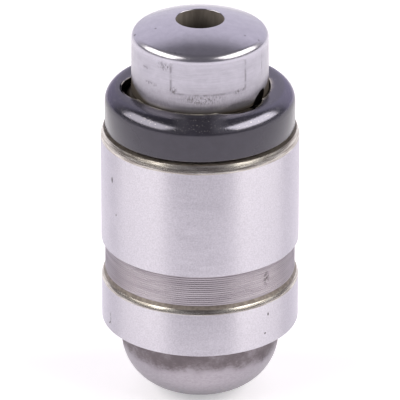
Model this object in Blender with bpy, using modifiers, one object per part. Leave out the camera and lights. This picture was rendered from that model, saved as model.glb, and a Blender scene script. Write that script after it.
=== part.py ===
# Hydraulic valve lifter, standing on its rounded nose, +Z up, in metres.
# The nose tip is at the origin and the lifter's axis is Z.
import math

import bmesh
import bpy
from mathutils import Matrix

MM = 0.001

# Facets round a turned piece and a small stamping, facets in a fillet, and merging distance
TURN_STEPS = 48
SHEET_TURN_STEPS = 32
FILLET_STEPS = 3
MERGE = 0.000001

# Running and seating clearances
BORE_CLEARANCE = 0.04 * MM      # plunger in the housing bore, radial
HEAD_CLEARANCE = 0.14 * MM      # head in the cap's hole, radial
SEAT_CLEARANCE = 0.02 * MM      # faces that rest on each other
CAP_CLEARANCE = 0.05 * MM       # drawn cap over the spigot

# Housing nose, from the tip up: shallow dome, round corner, straight side
NOSE_DOME_RADIUS = 11.0 * MM
NOSE_CORNER_RADIUS = 4.5 * MM
NOSE_STEP = 1.68 * MM               # from the ground diameter in to the nose's side
NOSE_HEIGHT = 6.73 * MM

# Housing outside, from the nose up
LAND_RADIUS = 8.5 * MM
BAND_HEIGHT = 4.04 * MM
BAND_EDGE = 0.15 * MM
GROOVE_WALL_HEIGHT = 0.65 * MM
GROOVE_DEPTH = 0.35 * MM
GROOVE_WIDTH = 3.51 * MM
LAND_HEIGHT = 10.29 * MM
LAND_TAPER = 0.15 * MM
LAND_TAPER_HEIGHT = 0.60 * MM
LAND_TAPER_BLEND = 1.5 * MM
LAND_EDGE = 0.10 * MM

# Drawn cap
CAP_SET_IN = 0.37 * MM              # inside the ground diameter
CAP_SHEET = 0.55 * MM
CAP_HEIGHT = 3.50 * MM
CAP_CORNER_RADIUS = 1.38 * MM
CAP_GAP_TO_SHOULDER = 0.29 * MM
CAP_LIP = 0.45 * MM                 # how far the sheet reaches over the bore
CAP_EDGE = 0.06 * MM
CRIMP_START = 0.15 * MM             # above the cap's lower edge
CRIMP_HEIGHT = 0.70 * MM
CRIMP_DEPTH = 0.15 * MM
NOTCH_COUNT = 3
NOTCH_DEPTH = 0.71 * MM
NOTCH_RADIUS = 3.00 * MM            # of the round punch that bites into the hole's edge
FIRST_NOTCH_DEG = -53.0

# Housing bore
SPIGOT_WALL = 1.08 * MM
BORE_MOUTH_CHAMFER = 0.50 * MM
BORE_MOUTH_HEIGHT = 0.60 * MM
BORE_BOTTOM_FILLET = 0.40 * MM
POCKET_BOTTOM_Z = 4.95 * MM         # thickness of the nose under the spring
POCKET_FILLET = 0.50 * MM

# Upper plunger with its domed head
HEAD_CORNER_RADIUS = 0.75 * MM
HEAD_CORNER_ABOVE_CAP = 4.96 * MM
HEAD_SIDE_TAPER = 0.03 * MM         # radius lost from the foot of the side up to its corner
HEAD_DOME_RADIUS = 13.2 * MM
HEAD_FOOT_ABOVE_CAP = 0.50 * MM
NECK_DEPTH = 0.40 * MM
NECK_ABOVE_CAP = -0.05 * MM
NECK_BLEND = 0.45 * MM
SHOULDER_TAPER_HEIGHT = 0.55 * MM
OIL_HOLE_RADIUS = 2.06 * MM
OIL_HOLE_EDGE = 0.16 * MM
HEAD_WALL_OVER_RESERVOIR = 3.20 * MM
RESERVOIR_WALL = 2.21 * MM
RESERVOIR_FILLET = 1.00 * MM
PLUNGER_EDGE = 0.30 * MM
PLUNGER_TRAVEL = 3.00 * MM
TRAVEL_MARGIN = 0.84 * MM           # left under the plunger at the end of its travel

# Lower plunger with the valve seat
LOWER_PLUNGER_LENGTH = 7.20 * MM
LOWER_RESERVOIR_WALL = 1.81 * MM
VALVE_FLOOR = 2.00 * MM
RETAINER_RECESS_CLEARANCE = 0.25 * MM       # round the spring's top coil
RETAINER_RECESS_DEPTH = 0.50 * MM
VALVE_HOLE_RADIUS = 1.20 * MM
VALVE_SEAT_RADIUS = 1.90 * MM       # wide end of the 45 degree seat

# Check ball, its cage and its spring
BALL_RADIUS = 2.00 * MM
BALL_LIFT = 0.40 * MM
RETAINER_SHEET = 0.35 * MM
RETAINER_FLANGE_CLEARANCE = 0.10 * MM
BALL_SIDE_CLEARANCE = 0.25 * MM
RETAINER_CORNER_RADIUS = 0.60 * MM
RETAINER_HOLE_RADIUS = 0.60 * MM
WINDOW_COUNT = 3
WINDOW_WIDTH = 1.60 * MM
WINDOW_HEIGHT = 1.90 * MM
BALL_SPRING_RADIUS = 1.00 * MM
BALL_SPRING_WIRE = 0.20 * MM
BALL_SPRING_TURNS = 3.0
BALL_SPRING_MARGIN = 0.05 * MM      # left between its coils when the ball is fully lifted

# Plunger spring
SPRING_INNER_CLEARANCE = 1.10 * MM  # coils round the cage
SPRING_SIDE_CLEARANCE = 0.50 * MM   # coils in the pocket
SPRING_WIRE = 0.80 * MM
SPRING_TURNS = 5.0
SPRING_POINTS_PER_TURN = 14
SPRING_END_TURNS = 0.75             # closed turn at each end
SPRING_END_PITCH = 1.06             # closed turns' pitch, in wire diameters

# Radii that follow from the ground diameter, from the outside in
NOSE_SIDE_RADIUS = LAND_RADIUS - NOSE_STEP
GROOVE_FLOOR_RADIUS = LAND_RADIUS - GROOVE_DEPTH
LAND_TOP_RADIUS = LAND_RADIUS - LAND_TAPER
CAP_RADIUS = LAND_RADIUS - CAP_SET_IN
CAP_INNER_RADIUS = CAP_RADIUS - CAP_SHEET
CAP_INNER_CORNER = CAP_CORNER_RADIUS - CAP_SHEET
SPIGOT_RADIUS = CAP_INNER_RADIUS - CAP_CLEARANCE
SPIGOT_CORNER = CAP_INNER_CORNER - CAP_CLEARANCE
BORE_RADIUS = SPIGOT_RADIUS - SPIGOT_WALL
BORE_MOUTH_RADIUS = BORE_RADIUS + BORE_MOUTH_CHAMFER
CAP_HOLE_RADIUS = BORE_RADIUS - CAP_LIP
NOTCH_CENTRE = CAP_HOLE_RADIUS + NOTCH_DEPTH - NOTCH_RADIUS
HEAD_RADIUS = CAP_HOLE_RADIUS - HEAD_CLEARANCE
HEAD_TOP_RADIUS = HEAD_RADIUS - HEAD_SIDE_TAPER
NECK_RADIUS = HEAD_RADIUS - NECK_DEPTH
PLUNGER_RADIUS = BORE_RADIUS - BORE_CLEARANCE
RESERVOIR_RADIUS = PLUNGER_RADIUS - RESERVOIR_WALL
LOWER_RESERVOIR_RADIUS = PLUNGER_RADIUS - LOWER_RESERVOIR_WALL

# Radii inside, from the check ball out
RETAINER_INNER_RADIUS = BALL_RADIUS + BALL_SIDE_CLEARANCE
RETAINER_RADIUS = RETAINER_INNER_RADIUS + RETAINER_SHEET
SPRING_RADIUS = RETAINER_RADIUS + SPRING_INNER_CLEARANCE + 0.5 * SPRING_WIRE
SPRING_OUTER_RADIUS = SPRING_RADIUS + 0.5 * SPRING_WIRE
POCKET_RADIUS = SPRING_OUTER_RADIUS + SPRING_SIDE_CLEARANCE
RETAINER_RECESS_RADIUS = SPRING_OUTER_RADIUS + RETAINER_RECESS_CLEARANCE

# Heights outside, from the nose up
BAND_TOP_Z = NOSE_HEIGHT + BAND_HEIGHT
GROOVE_TOP_Z = BAND_TOP_Z + GROOVE_WIDTH
SHOULDER_Z = GROOVE_TOP_Z + LAND_HEIGHT
CAP_BOTTOM_Z = SHOULDER_Z + CAP_GAP_TO_SHOULDER
CRIMP_BOTTOM_Z = CAP_BOTTOM_Z + CRIMP_START
CAP_TOP_Z = CAP_BOTTOM_Z + CAP_HEIGHT
CAP_UNDER_Z = CAP_TOP_Z - CAP_SHEET
SPIGOT_TOP_Z = CAP_UNDER_Z - CAP_CLEARANCE
UPPER_PLUNGER_TOP_Z = CAP_UNDER_Z - SEAT_CLEARANCE

# Heights inside, from the spring pocket up to the foot of the upper plunger
RETAINER_BOTTOM_Z = POCKET_BOTTOM_Z + TRAVEL_MARGIN + PLUNGER_TRAVEL
RETAINER_FLOOR_Z = RETAINER_BOTTOM_Z + RETAINER_SHEET
BALL_SPRING_BOTTOM_Z = RETAINER_FLOOR_Z + SEAT_CLEARANCE
BALL_SPRING_HEIGHT = BALL_LIFT + (BALL_SPRING_TURNS + 1.0) * BALL_SPRING_WIRE + BALL_SPRING_MARGIN
BALL_SPRING_TOP_Z = BALL_SPRING_BOTTOM_Z + BALL_SPRING_HEIGHT
BALL_SPRING_TOUCH_Z = BALL_SPRING_TOP_Z + 2.0 * SEAT_CLEARANCE
BALL_Z = BALL_SPRING_TOUCH_Z + math.sqrt(BALL_RADIUS ** 2 - BALL_SPRING_RADIUS ** 2)
VALVE_PLANE_Z = BALL_Z - VALVE_SEAT_RADIUS + (BALL_RADIUS + SEAT_CLEARANCE) * math.sqrt(2.0)
RETAINER_TOP_Z = VALVE_PLANE_Z - SEAT_CLEARANCE
LOWER_PLUNGER_BOTTOM_Z = VALVE_PLANE_Z - RETAINER_RECESS_DEPTH
LOWER_PLUNGER_TOP_Z = LOWER_PLUNGER_BOTTOM_Z + LOWER_PLUNGER_LENGTH
UPPER_PLUNGER_BOTTOM_Z = LOWER_PLUNGER_TOP_Z + SEAT_CLEARANCE
BORE_BOTTOM_Z = LOWER_PLUNGER_BOTTOM_Z - PLUNGER_TRAVEL - TRAVEL_MARGIN

# Colour, roughness and metallic value of each finish
GROUND_STEEL = ("ground_steel", (0.62, 0.60, 0.63), 0.30, 1.0)
POLISHED_STEEL = ("polished_steel", (0.58, 0.56, 0.58), 0.18, 1.0)
BLACK_OXIDE = ("black_oxide_steel", (0.060, 0.062, 0.075), 0.28, 0.6)
LAPPED_STEEL = ("lapped_steel", (0.66, 0.65, 0.66), 0.22, 1.0)
BEARING_STEEL = ("bearing_steel", (0.72, 0.72, 0.73), 0.10, 1.0)
SPRING_STEEL = ("spring_steel", (0.30, 0.29, 0.29), 0.35, 1.0)
STAMPED_STEEL = ("stamped_steel", (0.50, 0.49, 0.48), 0.35, 1.0)


def clear_scene():
    for obj in list(bpy.data.objects):
        bpy.data.objects.remove(obj, do_unlink=True)


def new_collection(name):
    collection = bpy.data.collections.new(name)
    bpy.context.scene.collection.children.link(collection)
    return collection


def make_material(finish):
    """A Principled material for one finish, made once and then shared by name."""
    name, colour, roughness, metallic = finish
    material = bpy.data.materials.get(name)
    if material is None:
        material = bpy.data.materials.new(name)
        material.use_nodes = True
        shader = material.node_tree.nodes["Principled BSDF"]
        shader.inputs["Base Color"].default_value = (*colour, 1.0)
        shader.inputs["Roughness"].default_value = roughness
        shader.inputs["Metallic"].default_value = metallic
    return material


def rounded(corners, closed=False):
    """Points of an outline of (radius, z, fillet) corners, each fillet drawn as an arc."""
    points = []
    count = len(corners)
    for index, (radius, z, fillet) in enumerate(corners):
        is_end = not closed and index in (0, count - 1)
        if fillet <= 0.0 or is_end:
            points.append((radius, z))
            continue
        points += fillet_arc(corners[index], corners[index - 1], corners[(index + 1) % count])
    return points


def fillet_arc(corner, before, after):
    """Arc that rounds a corner. A fillet takes no more than its share of the sides next to it."""
    fillet = corner[2]
    to_before = (before[0] - corner[0], before[1] - corner[1])
    to_after = (after[0] - corner[0], after[1] - corner[1])
    side_before = math.hypot(*to_before)
    side_after = math.hypot(*to_after)
    u = (to_before[0] / side_before, to_before[1] / side_before)
    v = (to_after[0] / side_after, to_after[1] / side_after)
    half_angle = 0.5 * math.acos(max(-1.0, min(1.0, u[0] * v[0] + u[1] * v[1])))
    room_before = side_before * fillet / (fillet + before[2])
    room_after = side_after * fillet / (fillet + after[2])
    tangent = min(fillet / math.tan(half_angle), 0.98 * room_before, 0.98 * room_after)
    arc_radius = tangent * math.tan(half_angle)
    middle = (u[0] + v[0], u[1] + v[1])
    reach = arc_radius / math.sin(half_angle) / math.hypot(*middle)
    centre = (corner[0] + middle[0] * reach, corner[1] + middle[1] * reach)
    start = (corner[0] + u[0] * tangent - centre[0], corner[1] + u[1] * tangent - centre[1])
    end = (corner[0] + v[0] * tangent - centre[0], corner[1] + v[1] * tangent - centre[1])
    turn = math.atan2(start[0] * end[1] - start[1] * end[0], start[0] * end[0] + start[1] * end[1])
    points = []
    for step in range(FILLET_STEPS + 1):
        angle = turn * step / FILLET_STEPS
        x = start[0] * math.cos(angle) - start[1] * math.sin(angle)
        z = start[0] * math.sin(angle) + start[1] * math.cos(angle)
        points.append((centre[0] + x, centre[1] + z))
    return points


def arc(centre, radius, start_deg, end_deg, steps):
    """Points on an arc, both ends included. Angles run from +X towards +Z."""
    points = []
    for step in range(steps + 1):
        angle = math.radians(start_deg + (end_deg - start_deg) * step / steps)
        points.append((centre[0] + radius * math.cos(angle), centre[1] + radius * math.sin(angle)))
    return points


def turned(name, outline, finish, collection, closed=False, steps=TURN_STEPS):
    """A turned piece. Its outline runs down the outer side, from top to bottom."""
    mesh = bpy.data.meshes.new(name)
    edges = [(index, index + 1) for index in range(len(outline) - 1)]
    if closed:
        edges.append((len(outline) - 1, 0))
    mesh.from_pydata([(radius, 0.0, z) for radius, z in outline], edges, [])
    mesh.materials.append(make_material(finish))
    obj = bpy.data.objects.new(name, mesh)
    collection.objects.link(obj)
    screw = obj.modifiers.new("Turn", 'SCREW')
    screw.axis = 'Z'
    screw.angle = math.tau
    screw.steps = steps
    screw.render_steps = steps
    screw.use_merge_vertices = True
    screw.merge_threshold = MERGE
    screw.use_smooth_shade = True
    return obj


def cut(obj, cutter):
    cutter.hide_render = True
    cutter.display_type = 'WIRE'
    boolean = obj.modifiers.new("Cut " + cutter.name, 'BOOLEAN')
    boolean.operation = 'DIFFERENCE'
    boolean.object = cutter


def mesh_object(name, bm, finish, collection):
    mesh = bpy.data.meshes.new(name)
    bm.to_mesh(mesh)
    bm.free()
    if finish:
        mesh.materials.append(make_material(finish))
    obj = bpy.data.objects.new(name, mesh)
    collection.objects.link(obj)
    return obj


def nose_outline():
    """Nose from its straight side down to the tip, where the dome meets the axis at z = 0."""
    corner_x = NOSE_SIDE_RADIUS - NOSE_CORNER_RADIUS
    corner_drop = math.sqrt((NOSE_DOME_RADIUS - NOSE_CORNER_RADIUS) ** 2 - corner_x ** 2)
    corner_z = NOSE_DOME_RADIUS - corner_drop
    blend_deg = math.degrees(math.atan2(corner_drop, corner_x))
    corner = arc((corner_x, corner_z), NOSE_CORNER_RADIUS, 0.0, -blend_deg, 6)
    dome = arc((0.0, NOSE_DOME_RADIUS), NOSE_DOME_RADIUS, -blend_deg, -90.0, 4)
    dome[-1] = (0.0, 0.0)
    return corner + dome[1:]


def spigot_corner_outline():
    """Spigot's round corner, parallel to the cap's inner one, from the bore's mouth outwards."""
    centre_x = SPIGOT_RADIUS - SPIGOT_CORNER
    mouth_x = max(0.0, BORE_MOUTH_RADIUS - centre_x)
    mouth_deg = math.degrees(math.acos(mouth_x / SPIGOT_CORNER))
    return arc((centre_x, SPIGOT_TOP_Z - SPIGOT_CORNER), SPIGOT_CORNER, mouth_deg, 0.0, 4)


def make_housing(collection):
    crimp_top_z = CRIMP_BOTTOM_Z + CRIMP_HEIGHT
    crimp_radius = SPIGOT_RADIUS - CRIMP_DEPTH
    bore = rounded([
        (0.0, POCKET_BOTTOM_Z, 0.0),
        (POCKET_RADIUS, POCKET_BOTTOM_Z, POCKET_FILLET),
        (POCKET_RADIUS, BORE_BOTTOM_Z, 0.0),
        (BORE_RADIUS, BORE_BOTTOM_Z, BORE_BOTTOM_FILLET),
        (BORE_RADIUS, SPIGOT_TOP_Z - BORE_MOUTH_HEIGHT, 0.0),
    ])
    outside = rounded([
        (SPIGOT_RADIUS, crimp_top_z, 0.0),
        (crimp_radius, crimp_top_z - CRIMP_DEPTH, 0.0),
        (crimp_radius, SHOULDER_Z, 0.0),
        (LAND_TOP_RADIUS, SHOULDER_Z, LAND_EDGE),
        (LAND_RADIUS, SHOULDER_Z - LAND_TAPER_HEIGHT, LAND_TAPER_BLEND),
        (LAND_RADIUS, GROOVE_TOP_Z, 0.0),
        (GROOVE_FLOOR_RADIUS, GROOVE_TOP_Z, 0.0),
        (GROOVE_FLOOR_RADIUS, BAND_TOP_Z + GROOVE_WALL_HEIGHT, 0.0),
        (LAND_RADIUS, BAND_TOP_Z, 0.0),
        (LAND_RADIUS, NOSE_HEIGHT, BAND_EDGE),
        (NOSE_SIDE_RADIUS, NOSE_HEIGHT, 0.0),
    ])
    outline = bore + spigot_corner_outline() + outside + nose_outline()
    return turned("housing", outline, GROUND_STEEL, collection)


def make_notch_cutter(index, collection):
    """A round punch that stands across the cap's sheet and bites a scallop out of the hole's edge."""
    height = 3.0 * CAP_SHEET
    bm = bmesh.new()
    bmesh.ops.create_cone(bm, cap_ends=True, segments=TURN_STEPS, radius1=NOTCH_RADIUS,
                          radius2=NOTCH_RADIUS, depth=height)
    bmesh.ops.translate(bm, verts=bm.verts, vec=(NOTCH_CENTRE, 0.0, CAP_TOP_Z - 0.5 * CAP_SHEET))
    angle = math.radians(FIRST_NOTCH_DEG + index * 360.0 / NOTCH_COUNT)
    bmesh.ops.rotate(bm, verts=bm.verts, cent=(0.0, 0.0, 0.0), matrix=Matrix.Rotation(angle, 3, 'Z'))
    return mesh_object("notch_cutter_%d" % (index + 1), bm, None, collection)


def make_cap(collection, cutters):
    lip_radius = CAP_INNER_RADIUS - CRIMP_DEPTH
    crimp_top_z = CRIMP_BOTTOM_Z + CRIMP_HEIGHT - CAP_CLEARANCE
    outline = rounded([
        (CAP_HOLE_RADIUS, CAP_TOP_Z, CAP_EDGE),
        (CAP_RADIUS, CAP_TOP_Z, CAP_CORNER_RADIUS),
        (CAP_RADIUS, CAP_BOTTOM_Z, CAP_EDGE),
        (lip_radius, CAP_BOTTOM_Z, CAP_EDGE),
        (lip_radius, crimp_top_z - 2.0 * CRIMP_DEPTH, 0.0),
        (CAP_INNER_RADIUS, crimp_top_z - CRIMP_DEPTH, 0.0),
        (CAP_INNER_RADIUS, CAP_UNDER_Z, CAP_INNER_CORNER),
        (CAP_HOLE_RADIUS, CAP_UNDER_Z, 0.0),
    ], closed=True)
    cap = turned("retaining_cap", outline, BLACK_OXIDE, collection, closed=True)
    for index in range(NOTCH_COUNT):
        cut(cap, make_notch_cutter(index, cutters))
    return cap


def head_outline():
    """Head from the oil hole's mouth down to the foot of its side."""
    dome_drop = math.sqrt(HEAD_DOME_RADIUS ** 2 - HEAD_TOP_RADIUS ** 2)
    dome_centre_z = CAP_TOP_Z + HEAD_CORNER_ABOVE_CAP - dome_drop
    inner_radius = HEAD_DOME_RADIUS - HEAD_CORNER_RADIUS
    corner_x = HEAD_TOP_RADIUS - HEAD_CORNER_RADIUS
    corner_z = dome_centre_z + math.sqrt(inner_radius ** 2 - corner_x ** 2)
    blend_deg = math.degrees(math.atan2(corner_z - dome_centre_z, corner_x))
    mouth_x = OIL_HOLE_RADIUS + OIL_HOLE_EDGE
    mouth_deg = math.degrees(math.acos(mouth_x / HEAD_DOME_RADIUS))
    dome = arc((0.0, dome_centre_z), HEAD_DOME_RADIUS, mouth_deg, blend_deg, 5)
    corner = arc((corner_x, corner_z), HEAD_CORNER_RADIUS, blend_deg, 0.0, 5)
    return dome + corner[1:]


def make_plunger_head(collection):
    side = head_outline()
    mouth_z = side[0][1] - OIL_HOLE_EDGE
    roof_z = CAP_TOP_Z + HEAD_CORNER_ABOVE_CAP - HEAD_WALL_OVER_RESERVOIR
    shoulder_z = UPPER_PLUNGER_TOP_Z
    below = rounded([
        (HEAD_RADIUS, CAP_TOP_Z + HEAD_FOOT_ABOVE_CAP, NECK_BLEND),
        (NECK_RADIUS, CAP_TOP_Z + NECK_ABOVE_CAP, NECK_BLEND),
        (NECK_RADIUS, shoulder_z, 0.0),
        (CAP_HOLE_RADIUS, shoulder_z, 0.0),
        (PLUNGER_RADIUS, shoulder_z - SHOULDER_TAPER_HEIGHT, 0.0),
        (PLUNGER_RADIUS, UPPER_PLUNGER_BOTTOM_Z, PLUNGER_EDGE),
        (RESERVOIR_RADIUS, UPPER_PLUNGER_BOTTOM_Z, 0.0),
        (RESERVOIR_RADIUS, roof_z, RESERVOIR_FILLET),
        (OIL_HOLE_RADIUS, roof_z, 0.0),
        (OIL_HOLE_RADIUS, mouth_z, 0.0),
    ])
    return turned("plunger_head", side + below, POLISHED_STEEL, collection, closed=True)


def make_lower_plunger(collection):
    floor_z = LOWER_PLUNGER_BOTTOM_Z + VALVE_FLOOR
    seat_top_z = VALVE_PLANE_Z + VALVE_SEAT_RADIUS - VALVE_HOLE_RADIUS
    outline = rounded([
        (LOWER_RESERVOIR_RADIUS, LOWER_PLUNGER_TOP_Z, 0.0),
        (PLUNGER_RADIUS, LOWER_PLUNGER_TOP_Z, PLUNGER_EDGE),
        (PLUNGER_RADIUS, LOWER_PLUNGER_BOTTOM_Z, PLUNGER_EDGE),
        (RETAINER_RECESS_RADIUS, LOWER_PLUNGER_BOTTOM_Z, 0.0),
        (RETAINER_RECESS_RADIUS, VALVE_PLANE_Z, 0.0),
        (VALVE_SEAT_RADIUS, VALVE_PLANE_Z, 0.0),
        (VALVE_HOLE_RADIUS, seat_top_z, 0.0),
        (VALVE_HOLE_RADIUS, floor_z, 0.0),
        (LOWER_RESERVOIR_RADIUS, floor_z, RESERVOIR_FILLET),
    ], closed=True)
    return turned("lower_plunger", outline, LAPPED_STEEL, collection, closed=True)


def make_check_ball(collection):
    bm = bmesh.new()
    bmesh.ops.create_uvsphere(bm, u_segments=20, v_segments=12, radius=BALL_RADIUS)
    ball = mesh_object("check_ball", bm, BEARING_STEEL, collection)
    ball.data.shade_smooth()
    ball.location = (0.0, 0.0, BALL_Z)
    return ball


def make_window_cutter(index, collection):
    """A slot cutter through the cage's wall, pointing out along its own angle."""
    length = 3.0 * RETAINER_SHEET
    bm = bmesh.new()
    bmesh.ops.create_cube(bm, size=1.0)
    bmesh.ops.scale(bm, verts=bm.verts, vec=(length, WINDOW_WIDTH, WINDOW_HEIGHT))
    middle_z = RETAINER_BOTTOM_Z + RETAINER_SHEET + RETAINER_CORNER_RADIUS + 0.5 * WINDOW_HEIGHT
    middle_radius = RETAINER_RADIUS - 0.5 * RETAINER_SHEET
    bmesh.ops.translate(bm, verts=bm.verts, vec=(middle_radius, 0.0, middle_z))
    angle = math.tau * index / WINDOW_COUNT
    bmesh.ops.rotate(bm, verts=bm.verts, cent=(0.0, 0.0, 0.0), matrix=Matrix.Rotation(angle, 3, 'Z'))
    return mesh_object("window_cutter_%d" % (index + 1), bm, None, collection)


def make_ball_retainer(collection, cutters):
    flange_radius = RETAINER_RECESS_RADIUS - RETAINER_FLANGE_CLEARANCE
    flange_under_z = RETAINER_TOP_Z - RETAINER_SHEET
    inner_corner = RETAINER_CORNER_RADIUS - RETAINER_SHEET
    outline = rounded([
        (RETAINER_INNER_RADIUS, RETAINER_TOP_Z, inner_corner),
        (flange_radius, RETAINER_TOP_Z, 0.0),
        (flange_radius, flange_under_z, 0.0),
        (RETAINER_RADIUS, flange_under_z, inner_corner),
        (RETAINER_RADIUS, RETAINER_BOTTOM_Z, RETAINER_CORNER_RADIUS),
        (RETAINER_HOLE_RADIUS, RETAINER_BOTTOM_Z, 0.0),
        (RETAINER_HOLE_RADIUS, RETAINER_FLOOR_Z, 0.0),
        (RETAINER_INNER_RADIUS, RETAINER_FLOOR_Z, inner_corner),
    ], closed=True)
    retainer = turned("ball_retainer", outline, STAMPED_STEEL, collection, closed=True,
                      steps=SHEET_TURN_STEPS)
    for index in range(WINDOW_COUNT):
        cut(retainer, make_window_cutter(index, cutters))
    return retainer


def make_spring(name, radius, wire, turns, bottom_z, top_z, finish, collection):
    """A coil spring with a closed turn at each end, between two seating planes."""
    low = bottom_z + 0.5 * wire
    high = top_z - 0.5 * wire
    closed_rise = SPRING_END_TURNS * SPRING_END_PITCH * wire
    open_turns = turns - 2.0 * SPRING_END_TURNS
    open_rise = (high - low - 2.0 * closed_rise) / open_turns
    count = int(round(turns * SPRING_POINTS_PER_TURN))
    curve = bpy.data.curves.new(name, 'CURVE')
    curve.dimensions = '3D'
    curve.bevel_depth = 0.5 * wire
    curve.bevel_resolution = 2
    curve.use_fill_caps = True
    spline = curve.splines.new('POLY')
    spline.points.add(count)
    for index in range(count + 1):
        turn = turns * index / count
        start_part = min(turn, SPRING_END_TURNS)
        end_part = max(0.0, turn - (turns - SPRING_END_TURNS))
        open_part = turn - start_part - end_part
        z = low + (start_part + end_part) * SPRING_END_PITCH * wire + open_part * open_rise
        angle = math.tau * turn
        spline.points[index].co = (radius * math.cos(angle), radius * math.sin(angle), z, 1.0)
    curve.materials.append(make_material(finish))
    obj = bpy.data.objects.new(name, curve)
    collection.objects.link(obj)
    return obj


def make_springs(collection):
    make_spring("ball_spring", BALL_SPRING_RADIUS, BALL_SPRING_WIRE, BALL_SPRING_TURNS,
                BALL_SPRING_BOTTOM_Z, BALL_SPRING_TOP_Z, SPRING_STEEL, collection)
    make_spring("plunger_spring", SPRING_RADIUS, SPRING_WIRE, SPRING_TURNS,
                POCKET_BOTTOM_Z + SEAT_CLEARANCE, RETAINER_TOP_Z - RETAINER_SHEET - SEAT_CLEARANCE,
                SPRING_STEEL, collection)


def main():
    clear_scene()
    lifter = new_collection("hydraulic_valve_lifter")
    cutters = new_collection("cutters")
    make_housing(lifter)
    make_cap(lifter, cutters)
    make_plunger_head(lifter)
    make_lower_plunger(lifter)
    make_check_ball(lifter)
    make_ball_retainer(lifter, cutters)
    make_springs(lifter)


main()
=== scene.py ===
# Hydraulic valve lifter: ground steel cylinder, black oxide cap, polished domed head
import math

import bmesh
import bpy
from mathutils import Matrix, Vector, noise


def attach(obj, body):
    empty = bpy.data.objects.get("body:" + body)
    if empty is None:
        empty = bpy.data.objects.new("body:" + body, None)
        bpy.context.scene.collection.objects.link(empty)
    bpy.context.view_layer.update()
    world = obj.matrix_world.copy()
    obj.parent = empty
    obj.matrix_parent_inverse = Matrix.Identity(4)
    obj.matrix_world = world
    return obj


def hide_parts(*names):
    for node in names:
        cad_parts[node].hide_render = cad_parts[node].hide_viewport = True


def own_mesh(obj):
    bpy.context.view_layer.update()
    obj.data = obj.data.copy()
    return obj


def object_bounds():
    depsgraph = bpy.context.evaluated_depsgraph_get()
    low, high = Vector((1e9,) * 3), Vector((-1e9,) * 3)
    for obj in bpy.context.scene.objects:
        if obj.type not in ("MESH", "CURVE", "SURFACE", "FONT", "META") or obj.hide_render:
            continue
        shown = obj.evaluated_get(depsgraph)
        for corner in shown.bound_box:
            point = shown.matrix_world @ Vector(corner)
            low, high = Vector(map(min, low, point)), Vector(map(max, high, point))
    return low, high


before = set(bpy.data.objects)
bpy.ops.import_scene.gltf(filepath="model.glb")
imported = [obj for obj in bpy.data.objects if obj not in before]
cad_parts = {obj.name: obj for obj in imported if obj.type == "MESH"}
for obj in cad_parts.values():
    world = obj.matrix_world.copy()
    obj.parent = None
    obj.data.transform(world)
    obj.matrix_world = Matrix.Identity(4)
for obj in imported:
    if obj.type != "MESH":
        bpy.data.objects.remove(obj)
cadLow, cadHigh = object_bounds()
mm = 0.001
tiny = 1e-7   # metres; points nearer than this are one point
print("frame loaded,", len(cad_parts), "nodes")


# sRGB hex to the linear colour that the shaders want
def hexColour(code):
    channels = [int(code[i:i + 2], 16) / 255 for i in (1, 3, 5)]
    linear = [c / 12.92 if c <= 0.04045 else ((c + 0.055) / 1.055) ** 2.4 for c in channels]
    return (*linear, 1.0)


# a texture scale that gives features of about this size in millimetres
def perMm(size):
    return 1.0 / (size * mm)


# azimuth on the lifter, 0 at the camera side, positive to the right, as a unit direction
def facing(azimuth):
    angle = math.radians(azimuth)
    return Vector((math.sin(angle), -math.cos(angle), 0.0))


# nodes

# sets a node's inputs, each to a value or to the socket that feeds it
def feed(tree, node, inputs):
    for key, value in inputs.items():
        if isinstance(value, bpy.types.NodeSocket):
            tree.links.new(value, node.inputs[key])
        else:
            node.inputs[key].default_value = value


def addNode(tree, kind, inputs=None, **settings):
    node = tree.nodes.new(kind)
    for name, value in settings.items():
        setattr(node, name, value)
    feed(tree, node, inputs or {})
    return node


# the first output of a new node, for nodes that give one thing
def output(tree, kind, inputs=None, **settings):
    return addNode(tree, kind, inputs, **settings).outputs[0]


def maths(tree, operation, *values):
    return output(tree, "ShaderNodeMath", dict(enumerate(values)), operation=operation)


def vectorMaths(tree, operation, *values):
    return output(tree, "ShaderNodeVectorMath", dict(enumerate(values)), operation=operation)


def vectorLength(tree, vector):
    return addNode(tree, "ShaderNodeVectorMath", {0: vector}, operation='LENGTH').outputs["Value"]


def multiplied(tree, first, second):
    return maths(tree, 'MULTIPLY', first, second)


def brightened(tree, colour, gain):
    return output(tree, "ShaderNodeVectorMath", {0: colour, "Scale": gain}, operation='SCALE')


# a value carried from one range into another, held at both ends
def ranged(tree, value, start, to=(0.0, 1.0), **settings):
    return output(tree, "ShaderNodeMapRange",
                  {"Value": value, "From Min": start[0], "From Max": start[1],
                   "To Min": to[0], "To Max": to[1]}, **settings)


# the same between two heights in mm
def byHeight(tree, height, ends, to=(0.0, 1.0), **settings):
    return ranged(tree, height, [end * mm for end in ends], to, **settings)


# two colours, as hex or as sockets, mixed by a mask
def blend(tree, mask, first, second):
    colours = [hexColour(c) if isinstance(c, str) else c for c in (first, second)]
    return addNode(tree, "ShaderNodeMix", {"Factor": mask, "A": colours[0], "B": colours[1]},
                   data_type='RGBA').outputs["Result"]


def blendValues(tree, mask, first, second):
    return addNode(tree, "ShaderNodeMix", {"Factor": mask, "A": first, "B": second},
                   data_type='FLOAT').outputs["Result"]


# noise of this size in mm; a pair gives its size across and its size along the axis
def noiseOf(tree, place, size, detail=2.0, roughness=0.5):
    scale = 1.0
    if isinstance(size, tuple):
        across, along = perMm(size[0]), perMm(size[1])
        place = output(tree, "ShaderNodeMapping", {"Vector": place, "Scale": (across, across, along)})
    else:
        scale = perMm(size)
    return addNode(tree, "ShaderNodeTexNoise", {"Vector": place, "Scale": scale, "Detail": detail,
                                                "Roughness": roughness}).outputs["Fac"]


# a bump's normal; depth in mm
def bumped(tree, height, strength, depth):
    return output(tree, "ShaderNodeBump", {"Height": height, "Strength": strength,
                                           "Distance": depth * mm})


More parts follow.
